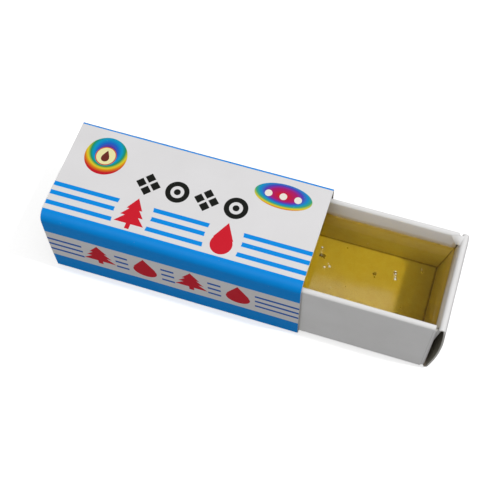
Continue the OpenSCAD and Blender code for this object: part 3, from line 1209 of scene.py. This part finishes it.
# dark lumps, painted shade of the bubbles under the pits: x, y, depth below the surface and
# radius
BUBBLE_SHADE_SPECKS = [(31.35, 0.25, 0.8, 0.64), (43.5, -0.75, 0.7, 0.46), (26.0, 4.2, 1.5, 0.22)]


def thinned(values, gap=0.03):
    """The values in order, without those closer than gap to the one before. Keeps both ends."""
    values = np.unique(values)
    kept = [values[0]]
    for value in values[1:-1]:
        if value - kept[-1] >= gap and values[-1] - value >= gap:
            kept.append(value)
    return np.array([*kept, values[-1]])


def bubble(centre, radius, rows=8, around=14):
    """Vertices and faces of a hollow in the rosin, its faces turned towards its middle."""
    middle = np.array(centre)
    vertices = [middle + (0, 0, radius)]
    for i in range(1, rows):
        polar = math.pi * i / rows
        for k in range(around):
            turn = 2 * math.pi * k / around
            ring, height = math.sin(polar) * radius, math.cos(polar) * radius
            vertices.append(middle + (ring * math.cos(turn), ring * math.sin(turn), height))
    vertices.append(middle - (0, 0, radius))
    last = len(vertices) - 1
    faces = []
    for k in range(around):
        n = (k + 1) % around
        faces.append((0, 1 + n, 1 + k))
        faces.append((last, last - around + k, last - around + n))
        for i in range(rows - 2):
            a = 1 + i * around
            faces.append((a + k, a + n, a + around + n, a + around + k))
    return vertices, faces


def crumb(centre, radius, seed):
    """Vertices and faces of a small broken lump, lying flat."""
    vertices, faces = bubble((0, 0, 0), radius, rows=5, around=7)
    lumpy = []
    for k, vertex in enumerate(vertices):
        swell = 1 + 0.38 * math.sin(seed * 5.1 + k * 2.3) + 0.14 * math.sin(k * 7.7 + seed)
        lumpy.append(np.array(centre) + vertex * (swell, swell * 0.85, 0.6 * swell))
    return lumpy, [tuple(reversed(face)) for face in faces]


# Distances of the mesh rows from the rosin's edge, and where the even rows between them start.
NEAR_EDGE = (0, 0.08, 0.16, 0.26, 0.4, 0.55, 0.75, 1.0, 1.4, 2.0)
EVEN_FROM = 2.6


def rosin_rows(half, step, middle, places, radii):
    """Grid lines from -half to half, close together at the edges and at the pits."""
    near = half - np.array(NEAR_EDGE)
    even = steps(-half + EVEN_FROM, half - EVEN_FROM, step)
    fine = places[:, None] - middle + radii[:, None] * np.linspace(-1.0, 1.0, 9)
    return thinned(np.concatenate([-near, near, even, fine.ravel()]))


def climb(distance):
    """Rise of the meniscus at a distance from a wall."""
    return MENISCUS_RISE * np.clip(1 - distance / MENISCUS_WIDTH, 0, 1) ** 2.2


def rosin_surface(xs, ys, half_x, half_y):
    """Points of the top, which climbs the leaning walls and has pits and blisters."""
    x, y = np.meshgrid(xs, ys)
    rise_x, rise_y = climb(half_x - np.abs(x)), climb(half_y - np.abs(y))
    rise = np.minimum(np.hypot(rise_x, rise_y), MENISCUS_RISE * 1.1)
    z = TRAY_HEIGHT - FREEBOARD + rise + waves(x, y, 8.0, ROSIN_WAVE)
    for spot_x, spot_y, radius, lift in ROSIN_SPOTS:
        far = np.hypot(x + TRAY_X - spot_x, y + TRAY_Y - spot_y) / radius
        z = z + 0.5 * lift * radius * np.clip(1 - far**2, 0, 1) ** 2
    x = x + np.sign(x) * rise_x * math.tan(END_LEAN)
    y = y + np.sign(y) * rise_y * math.tan(SIDE_LEAN)
    return in_tray(x, y, z).reshape(-1, 3)


def rosin_lumps():
    """Bubbles, lumps of painted highlight and of painted shade: vertices, faces and material
    number.
    """
    for x, y, deep, radius in ROSIN_BUBBLES:
        yield 0, *bubble((x, y, ROSIN_LEVEL - deep), radius)
    for seed, (x, y, radius) in enumerate(GLINT_CRUMBS):
        yield 1, *crumb((x, y, ROSIN_LEVEL + 0.35 * radius), 1.3 * radius, seed)
    for seed, (x, y, deep, radius) in enumerate(BUBBLE_SHADE_SPECKS):
        yield 2, *crumb((x, y, ROSIN_LEVEL - deep), radius, seed + 20)


def make_rosin(glass, glint_powder, bubble_shade):
    """The poured block: glassy top that climbs the walls, sides bonded to the board."""
    level = TRAY_HEIGHT - FREEBOARD
    half_x, half_y = end_face(level) + EMBED, side_face(level) + EMBED
    foot_x, foot_y = end_face(BOARD) + EMBED, side_face(BOARD) + EMBED
    spots = np.array(ROSIN_SPOTS)
    xs = rosin_rows(half_x, 1.1, TRAY_X, spots[:, 0], spots[:, 2])
    ys = rosin_rows(half_y, 1.0, TRAY_Y, spots[:, 1], spots[:, 2])
    nx, ny = len(xs), len(ys)
    top = rosin_surface(xs, ys, half_x, half_y)
    rim = grid_rim(nx, ny)
    edge = [j * nx + i for i, j in rim]
    high = top[edge]
    low = np.array([
        in_tray(xs[i] / half_x * foot_x, ys[j] / half_y * foot_y, BOARD - EMBED) for i, j in rim
    ])
    vertices = np.concatenate([top, high + (low - high) * 0.5, low])
    first, second = nx * ny, nx * ny + len(rim)
    middle, foot = range(first, second), range(second, second + len(rim))
    faces = grid_quads(nx, ny) + skirt_quads(edge, middle, foot) + [tuple(reversed(foot))]
    sharp = ring_edges(edge, foot)
    for k, (i, j) in enumerate(rim):
        if i in (0, nx - 1) and j in (0, ny - 1):
            sharp.extend([(edge[k], middle[k]), (middle[k], foot[k])])
    skins = [0] * len(faces)
    for skin, points, lump_faces in rosin_lumps():
        start = len(vertices)
        vertices = np.concatenate([vertices, points])
        faces.extend(tuple(start + k for k in face) for face in lump_faces)
        skins.extend([skin] * len(lump_faces))
    materials, uvs = [glass, glint_powder, bubble_shade], vertices[:, :2] / UV_SPAN
    piece = piece_from("rosin_cake_block", vertices, faces, skins, materials, uvs, sharp)
    rides_for(piece, "tray", "rosin_cake")


# -------- floor, light, camera

# The camera sees a brighter floor and backdrop than those that light the object, and gloss
# shows a dimmer studio.
FLOOR_TONES = ((0.86, 0.86, 0.86), (0.90, 0.90, 0.90))
FLOOR_GLOW = 0.50
FLOOR_BOUNCE = (0.18, 0.18, 0.18, 1.0)
FLOOR_REACH = 8.0
WORLD_GLOW = 0.48
WORLD_GLEAM = 0.15
WORLD_BACKDROP = 0.93
PLAIN_WHITE = (1.0, 1.0, 1.0, 1.0)

OBJECT_MIDDLE = (0.016, 0.0, 0.012)
# lamp, place, what it is turned to, size and power
LAMPS = [
    ("key_right", (0.44, 0.03, 0.80), OBJECT_MIDDLE, (0.035, 0.035), 2.75),
    ("softbox_front", (-0.10, -0.54, 0.42), OBJECT_MIDDLE, (0.40, 0.40), 0.81),
    ("panel_over", (0.017, 0.225, 0.566), (0.04, -0.008, 0.016), (0.075, 0.075), 0.027),
    ("softbox_behind", (0.10, 0.62, 0.22), OBJECT_MIDDLE, (0.40, 0.30), 0.7),
]

CAMERA_PLACE = (0.04799, -0.09873, 0.20652)
CAMERA_RIGHT = (0.9517, 0.3069, -0.0087)
CAMERA_BACK = (0.1507, -0.4423, 0.8841)
CAMERA_LENS = 69.39
CAMERA_SENSOR = 36.0


def make_floor():
    """A pale paper sweep."""
    material, tree, shader = new_material("pale_floor")
    tone = blend(tree, noise(tree, 30, detail=3), *FLOOR_TONES)
    tree.links.new(tone, shader.inputs["Base Color"])
    shader.inputs["Roughness"].default_value = 0.9
    shader.inputs["Specular IOR Level"].default_value = 0.0
    shader.inputs["Emission Color"].default_value = PLAIN_WHITE
    shader.inputs["Emission Strength"].default_value = FLOOR_GLOW
    dull = tree.nodes.new("ShaderNodeBsdfDiffuse")
    dull.inputs["Color"].default_value = FLOOR_BOUNCE
    seen = choose(tree, ray(tree, "Is Camera Ray"), dull.outputs[0], shader.outputs[0])
    tree.links.new(seen, tree.nodes["Material Output"].inputs["Surface"])
    mesh = bpy.data.meshes.new("floor")
    far = FLOOR_REACH
    corners = [(-far, -far, 0), (far, -far, 0), (far, far, 0), (-far, far, 0)]
    mesh.from_pydata(corners, [], [(0, 1, 2, 3)])
    mesh.materials.append(material)
    floor = bpy.data.objects.new("floor", mesh)
    bpy.context.scene.collection.objects.link(floor)


def make_world():
    """An even studio all round."""
    world = bpy.data.worlds.new("studio")
    world.use_nodes = True
    tree = world.node_tree
    tree.nodes.clear()

    def even(strength):
        node = tree.nodes.new("ShaderNodeBackground")
        node.inputs["Color"].default_value = PLAIN_WHITE
        node.inputs["Strength"].default_value = strength
        return node.outputs[0]

    gleam = Field(tree, ray(tree, "Is Glossy Ray")) * Field(tree, ray(tree, "Is Reflection Ray"))
    studio = choose(tree, gleam.value, even(WORLD_GLOW), even(WORLD_GLEAM))
    studio = choose(tree, ray(tree, "Is Camera Ray"), studio, even(WORLD_BACKDROP))
    tree.links.new(studio, tree.nodes.new("ShaderNodeOutputWorld").inputs["Surface"])
    bpy.context.scene.world = world


def make_lamps():
    """Square and oblong area lamps, each turned to its target."""
    for name, place, target, size, power in LAMPS:
        lamp = bpy.data.lights.new(name, "AREA")
        lamp.shape = "RECTANGLE"
        lamp.size, lamp.size_y = size
        lamp.energy = power
        obj = bpy.data.objects.new(name, lamp)
        obj.location = place
        obj.rotation_mode = "QUATERNION"
        obj.rotation_quaternion = (Vector(target) - Vector(place)).to_track_quat("-Z", "Y")
        bpy.context.scene.collection.objects.link(obj)


def make_camera():
    """The camera, turned so that its own axes are CAMERA_RIGHT and CAMERA_BACK."""
    data = bpy.data.cameras.new("camera")
    data.lens = CAMERA_LENS
    data.sensor_width = CAMERA_SENSOR
    data.clip_start, data.clip_end = 0.005, 10.0
    camera = bpy.data.objects.new("camera", data)
    back = Vector(CAMERA_BACK).normalized()
    right = Vector(CAMERA_RIGHT)
    right = (right - back * right.dot(back)).normalized()
    turn = Matrix((right, back.cross(right), back)).transposed().to_4x4()
    camera.matrix_world = Matrix.Translation(Vector(CAMERA_PLACE)) @ turn
    bpy.context.scene.collection.objects.link(camera)
    bpy.context.scene.camera = camera


# -------- build

bpy.context.scene.view_settings.view_transform = "Standard"
make_camera()
make_world()
make_lamps()
make_floor()

WHITE_SIDE = coated_white("coated_white")
INNER_SIDE = coated_white("coated_white_inside", stained=True)
RAW_SIDE = raw_board()
CUT_SIDE = cut_edge()
PRINTED_SIDE = printed_board()

make_sleeve(PRINTED_SIDE, RAW_SIDE, CUT_SIDE)
make_long_walls(WHITE_SIDE, INNER_SIDE, RAW_SIDE, CUT_SIDE)
make_end_walls(WHITE_SIDE, INNER_SIDE, RAW_SIDE, CUT_SIDE)
make_base(WHITE_SIDE, INNER_SIDE, CUT_SIDE)
make_dust_flaps(WHITE_SIDE, RAW_SIDE, CUT_SIDE)
make_torn_corner(WHITE_SIDE, CUT_SIDE)
make_rosin(rosin(), rosin_glint_powder(), rosin_bubble_shade())

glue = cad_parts["sleeve_seam_glue"]
glue.data.materials.clear()
glue.data.materials.append(glue_film())
